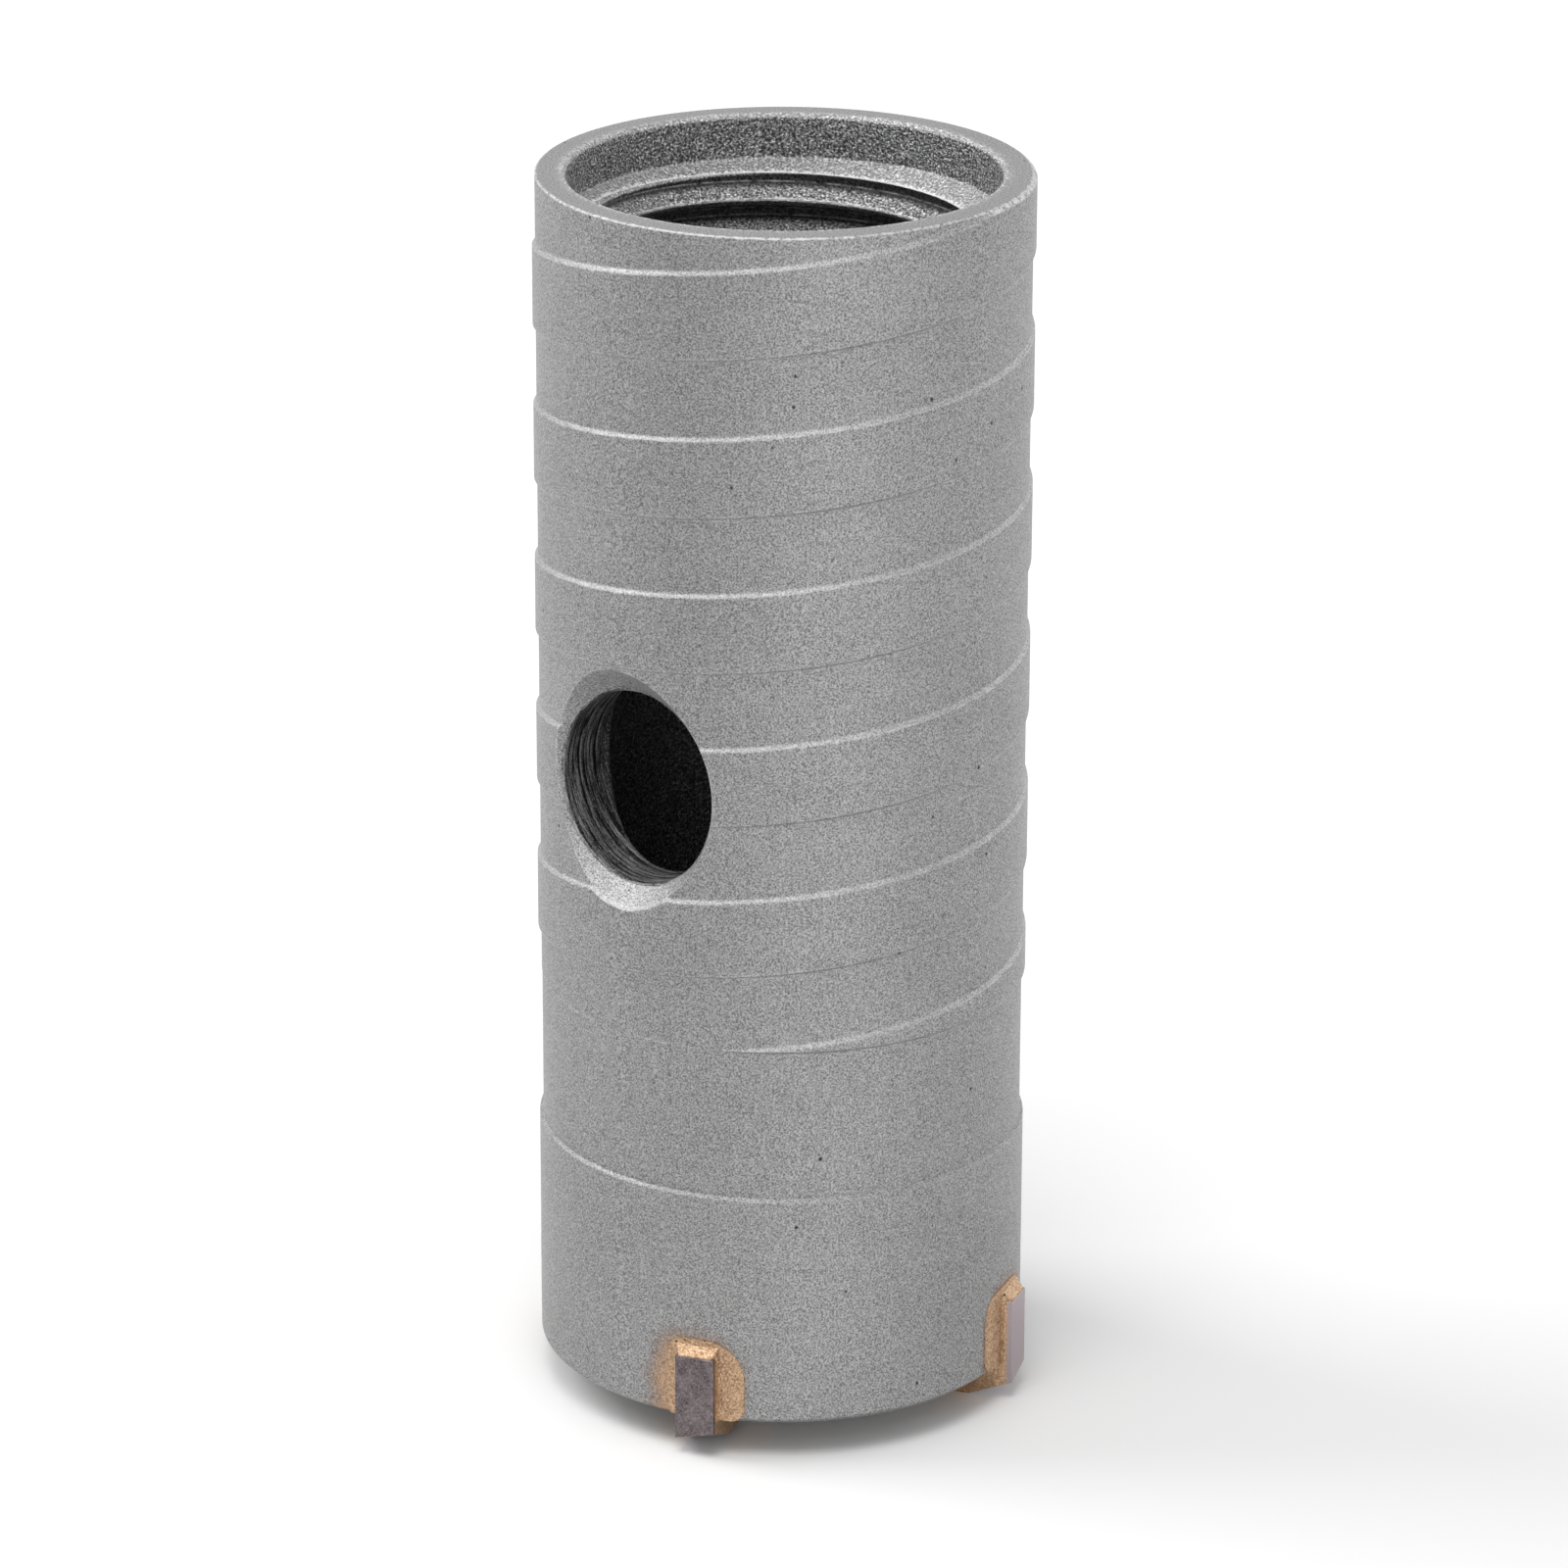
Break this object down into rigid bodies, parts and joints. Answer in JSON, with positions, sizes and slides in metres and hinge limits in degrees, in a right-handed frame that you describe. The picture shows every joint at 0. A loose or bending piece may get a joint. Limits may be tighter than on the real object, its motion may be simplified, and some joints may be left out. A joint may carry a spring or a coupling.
{
  "type": "core drill bit",
  "caption": "Short steel core drill bit for masonry: spiral-grooved tube with a threaded socket, a countersunk side hole and brazed carbide tips round the crown.",
  "frame": {"origin": "on the bit's axis, level with the cutting edges of the tips that it stands on", "axes": "+Z along the bit's axis from the crown to the socket mouth, -Y out through the side hole"},
  "size_m": [0.0286, 0.0286, 0.0733],
  "materials": {
    "blasted_steel": "bead-blasted, matt grey",
    "carbide": "as sintered, dull dark grey",
    "braze": "as brazed, sandblasted"
  },
  "bodies": {
    "root": {"core_body": "blasted_steel", "carbide_tip_1": "carbide", "carbide_tip_2": "carbide", "carbide_tip_3": "carbide", "carbide_tip_4": "carbide", "braze_1": "braze", "braze_2": "braze", "braze_3": "braze", "braze_4": "braze"}
  },
  "joints": []
}
